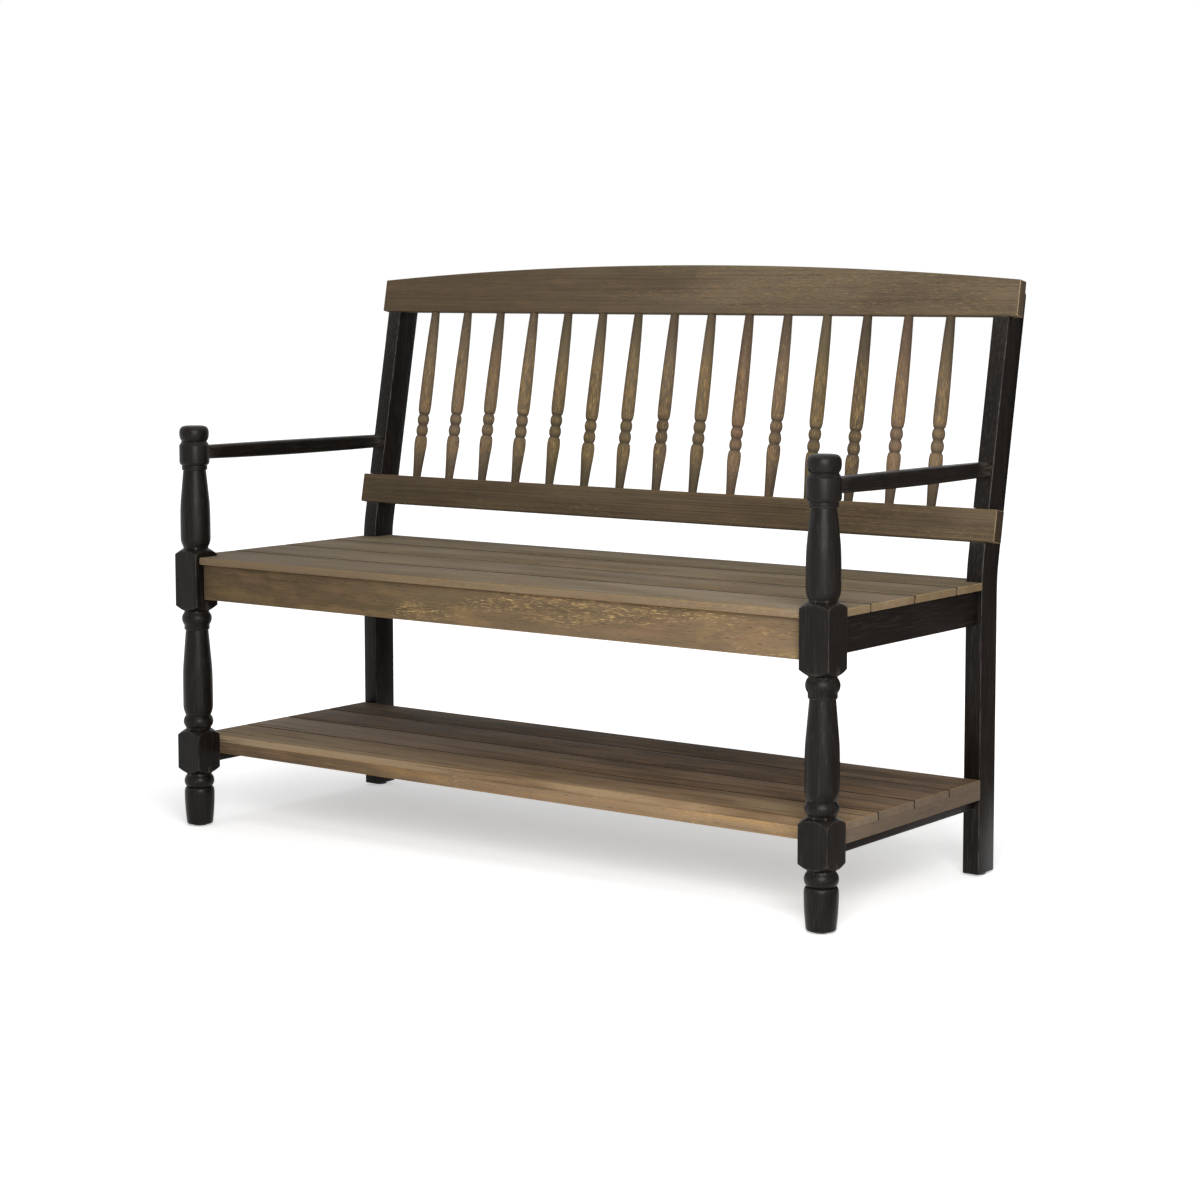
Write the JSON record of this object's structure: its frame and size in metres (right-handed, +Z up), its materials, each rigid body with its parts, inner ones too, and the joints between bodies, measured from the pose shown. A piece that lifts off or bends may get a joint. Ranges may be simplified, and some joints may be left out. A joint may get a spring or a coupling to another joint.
{
  "type": "deacons bench",
  "caption": "Deacons bench with turned front posts, an arched crest rail over a raked spindle back, slim arms, a slatted seat and a slatted storage shelf below.",
  "frame": {"origin": "on the floor, at the centre of the bench's footprint", "axes": "+Z up; +X along the bench, to the right as seen from the front; the front faces -Y"},
  "size_m": [1.306, 0.5972, 0.9513],
  "materials": {
    "stained_wood": "grey-brown stained hardwood, worn satin",
    "black_paint": "black satin paint on hardwood, slightly rubbed edges",
    "bolt_steel": "dark plated steel",
    "glide_plastic": "moulded dark brown plastic"
  },
  "bodies": {
    "root": {"front_post_left": "black_paint", "front_post_right": "black_paint", "back_leg_left": "black_paint", "back_leg_right": "black_paint", "arm_left": "black_paint", "arm_right": "black_paint", "seat_side_apron_left": "black_paint", "seat_side_apron_right": "black_paint", "shelf_stretcher_left": "black_paint", "shelf_stretcher_right": "black_paint", "crest_rail": "stained_wood", "lower_back_rail": "stained_wood", "spindle_01": "stained_wood", "spindle_02": "stained_wood", "spindle_03": "stained_wood", "spindle_04": "stained_wood", "spindle_05": "stained_wood", "spindle_06": "stained_wood", "spindle_07": "stained_wood", "spindle_08": "stained_wood", "spindle_09": "stained_wood", "spindle_10": "stained_wood", "spindle_11": "stained_wood", "spindle_12": "stained_wood", "spindle_13": "stained_wood", "spindle_14": "stained_wood", "spindle_15": "stained_wood", "seat_front_apron": "stained_wood", "seat_back_apron": "stained_wood", "seat_board_1": "stained_wood", "seat_board_2": "stained_wood", "seat_board_3": "stained_wood", "seat_board_4": "stained_wood", "seat_bearer_left": "stained_wood", "seat_bearer_right": "stained_wood", "shelf_front_rail": "stained_wood", "shelf_rear_rail": "stained_wood", "shelf_end_trim_left": "stained_wood", "shelf_end_trim_right": "stained_wood", "shelf_board_1": "stained_wood", "shelf_board_2": "stained_wood", "shelf_board_3": "stained_wood", "shelf_board_4": "stained_wood", "shelf_bearer_left": "stained_wood", "shelf_bearer_right": "stained_wood", "back_bolt_lower_left_1": "bolt_steel", "back_bolt_lower_left_2": "bolt_steel", "back_bolt_crest_left_1": "bolt_steel", "back_bolt_crest_left_2": "bolt_steel", "back_bolt_lower_right_1": "bolt_steel", "back_bolt_lower_right_2": "bolt_steel", "back_bolt_crest_right_1": "bolt_steel", "back_bolt_crest_right_2": "bolt_steel", "glide_front_left": "glide_plastic", "glide_front_right": "glide_plastic", "glide_rear_left": "glide_plastic", "glide_rear_right": "glide_plastic"}
  },
  "joints": []
}
